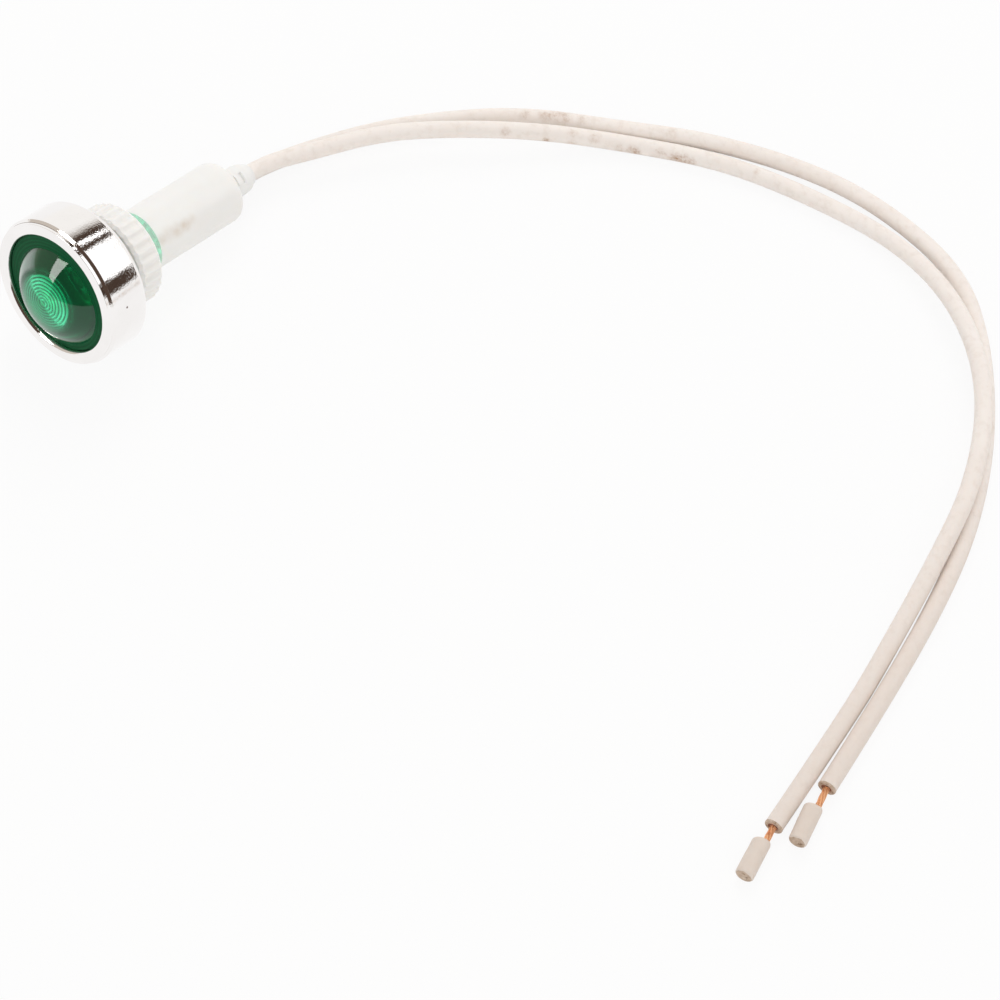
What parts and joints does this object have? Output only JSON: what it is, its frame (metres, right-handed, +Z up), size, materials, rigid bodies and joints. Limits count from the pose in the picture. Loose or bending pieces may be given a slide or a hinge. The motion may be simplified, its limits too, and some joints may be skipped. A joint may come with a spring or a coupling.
{
  "type": "panel pilot light",
  "caption": "Round indicator light for a panel hole: chromed bezel, domed green lens, knurled nut, slim white tail body and two flexible leads with stripped ends.",
  "frame": {"origin": "on the table, at the middle of the head's footprint (bezel, nut and tail body, without the free leads)", "axes": "+Z up from the table; the lens faces -Y and the tail body points to +Y, sloping down to the table; the leads lie towards +X"},
  "size_m": [0.1097, 0.0786, 0.018],
  "materials": {
    "chrome": "bright chrome plating",
    "green_lens": "clear emerald green moulding",
    "white_nylon": "glossy natural white nylon",
    "lamp_glass": "clear glass",
    "tinned_wire": "tinned wire",
    "resistor_coat": "lacquered resistor",
    "crimp_brass": "bare brass splice",
    "sleeving": "woven insulating sleeve",
    "lead_jacket": "satin off-white insulation",
    "copper": "bare twisted copper strands"
  },
  "bodies": {
    "light": {"bezel": "chrome", "lens_and_barrel": "green_lens", "tail_body": "white_nylon", "lamp": "lamp_glass", "lamp_wire_a": "tinned_wire", "lamp_wire_b": "tinned_wire", "resistor": "resistor_coat", "resistor_wire": "tinned_wire", "crimp_a": "crimp_brass", "crimp_b": "crimp_brass", "sleeve_a": "sleeving", "sleeve_b": "sleeving", "lead_root_a": "lead_jacket", "lead_root_b": "lead_jacket", "lead_a": "lead_jacket", "lead_b": "lead_jacket", "strands_a": "copper", "strands_b": "copper", "slug_a": "lead_jacket", "slug_b": "lead_jacket"},
    "nut": {"knurled_nut": "white_nylon"}
  },
  "joints": [
    {"name": "nut_travel", "type": "slide", "parent": "light", "child": "nut", "axis": [0, 0.972, -0.2351], "range_m": [-0.0019, 0.0053]}
  ]
}
